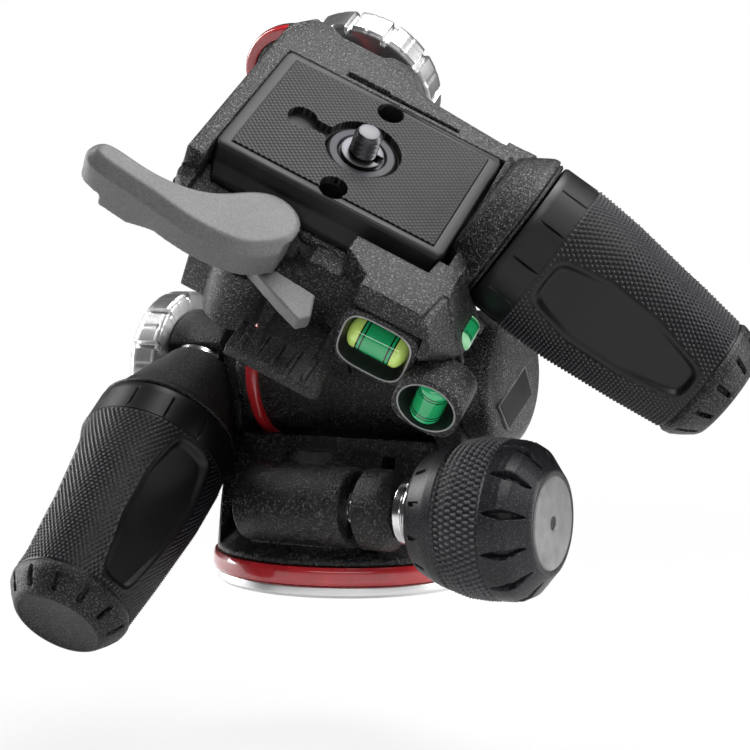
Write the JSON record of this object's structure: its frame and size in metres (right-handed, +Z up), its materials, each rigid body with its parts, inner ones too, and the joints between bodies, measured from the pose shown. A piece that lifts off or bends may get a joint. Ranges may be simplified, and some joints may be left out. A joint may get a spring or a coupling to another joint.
{
  "type": "three way pan tilt head",
  "caption": "Compact camera tripod head with separate pan, front tilt and side roll, two short locking handles that draw out, and a quick release plate.",
  "frame": {"origin": "centre of the mounting face under the base, at the mouth of its tripod thread", "axes": "+Z up along the pan axis; X along the front tilt axis, +Y towards what the camera looks at when level"},
  "size_m": [0.1524, 0.1085, 0.1434],
  "materials": {
    "black_body": "fine textured black paint",
    "black_trim": "matt moulded black",
    "red_trim": "translucent red",
    "satin_aluminium": "satin turned",
    "bright_steel": "bright",
    "steel": "ground",
    "bronze": "plain",
    "grip_rubber": "knurled",
    "lever_grey": "matt grey",
    "vial_acrylic": "clear with green liquid",
    "bearing_nylon": "natural"
  },
  "bodies": {
    "root": {"base_plate": "satin_aluminium", "pan_spindle": "steel", "spindle_nut": "steel", "pan_washer": "bearing_nylon"},
    "pan": {"pan_body": "black_body", "pan_trim_ring": "red_trim", "tilt_bushes": "bronze", "tilt_end_cap": "black_trim"},
    "pan_brake": {"pan_brake_pad": "bearing_nylon"},
    "pan_knob": {"pan_knob_screw": "bright_steel", "pan_knob_collar": "bright_steel", "pan_knob_core": "black_trim", "pan_knob_grip": "grip_rubber", "pan_knob_disc": "black_trim"},
    "tilt": {"tilt_housing": "black_body", "tilt_trim_ring": "red_trim", "tilt_axle": "steel", "tilt_handle_hub": "black_body", "rear_trim_ring": "red_trim", "rear_cap": "black_trim"},
    "tilt_wheel": {"tilt_friction_wheel": "satin_aluminium"},
    "platform": {"platform_frame": "black_body", "roll_axle": "steel", "level_housing": "black_body", "pitch_vial": "vial_acrylic", "side_vial": "vial_acrylic", "plumb_vial": "vial_acrylic", "thumb_tab": "black_trim", "lever_pivot": "steel", "camera_plate": "black_trim", "plate_pad": "grip_rubber", "screw_washer": "bright_steel"},
    "roll_wheel": {"roll_friction_wheel": "satin_aluminium"},
    "lever": {"qr_lever": "lever_grey"},
    "catch": {"safety_catch": "lever_grey"},
    "camera_screw": {"camera_screw": "bright_steel", "screw_clip": "bright_steel"},
    "tilt_handle": {"tilt_handle_rod": "steel", "tilt_handle_ring": "bright_steel", "tilt_handle_neck": "black_trim"},
    "tilt_grip": {"tilt_grip_sleeve": "black_trim", "tilt_grip": "grip_rubber", "tilt_grip_cap": "black_trim"},
    "roll_handle": {"roll_handle_rod": "steel", "roll_handle_ring": "bright_steel", "roll_handle_neck": "black_trim"},
    "roll_grip": {"roll_grip_sleeve": "black_trim", "roll_grip": "grip_rubber", "roll_grip_cap": "black_trim"}
  },
  "joints": [
    {"name": "pan_turn", "type": "hinge", "parent": "root", "child": "pan", "pos_m": [0, 0, 0], "axis": [0, 0, 1], "continuous": true},
    {"name": "pan_knob_turn", "type": "hinge", "parent": "pan", "child": "pan_knob", "pos_m": [0, -0.0253, 0.0202], "axis": [1, 0, 0], "range_deg": [0, 180]},
    {"name": "pan_brake_travel", "type": "slide", "parent": "pan", "child": "pan_brake", "axis": [0, -1, 0], "range_m": [0, 0.00025]},
    {"name": "tilt_turn", "type": "hinge", "parent": "pan", "child": "tilt", "pos_m": [0, 0, 0.0484], "axis": [-1, 0, 0], "range_deg": [0, 124.5]},
    {"name": "tilt_wheel_turn", "type": "hinge", "parent": "tilt", "child": "tilt_wheel", "pos_m": [0, 0, 0.0484], "axis": [-1, 0, 0], "range_deg": [0, 180]},
    {"name": "roll_turn", "type": "hinge", "parent": "tilt", "child": "platform", "pos_m": [0, -0.02927, 0.08918], "axis": [0, -0.8124, -0.5831], "range_deg": [0, 124]},
    {"name": "roll_wheel_turn", "type": "hinge", "parent": "platform", "child": "roll_wheel", "pos_m": [0, -0.02927, 0.08918], "axis": [0, 0.8124, 0.5831], "range_deg": [0, 180]},
    {"name": "tilt_handle_turn", "type": "hinge", "parent": "tilt", "child": "tilt_handle", "pos_m": [-0.0352, -0.02985, 0.02894], "axis": [0, 0.7329, 0.6803], "range_deg": [0, 90]},
    {"name": "tilt_grip_travel", "type": "slide", "parent": "tilt_handle", "child": "tilt_grip", "axis": [0, -0.7329, -0.6803], "range_m": [0, 0.034]},
    {"name": "roll_handle_turn", "type": "hinge", "parent": "platform", "child": "roll_handle", "pos_m": [0.05807, -0.01872, 0.07551], "axis": [-0.7106, -0.357, 0.6063], "range_deg": [0, 90]},
    {"name": "roll_grip_travel", "type": "slide", "parent": "roll_handle", "child": "roll_grip", "axis": [0.7106, 0.357, -0.6063], "range_m": [0, 0.034]},
    {"name": "lever_swing", "type": "hinge", "parent": "platform", "child": "lever", "pos_m": [0.01572, -0.06112, 0.08553], "axis": [0.5632, -0.4818, 0.6713], "range_deg": [0, 90]},
    {"name": "catch_swing", "type": "hinge", "parent": "platform", "child": "catch", "pos_m": [0.01572, -0.06112, 0.08553], "axis": [-0.5632, 0.4818, -0.6713], "range_deg": [0, 20]},
    {"name": "camera_screw_turn", "type": "hinge", "parent": "platform", "child": "camera_screw", "pos_m": [0.02316, -0.03542, 0.09774], "axis": [0.5632, -0.4818, 0.6713], "continuous": true}
  ],
  "couplings": [
    {"joint": "pan_brake_travel", "follows": "pan_knob_turn", "m_per_rad": 0.000079577}
  ]
}
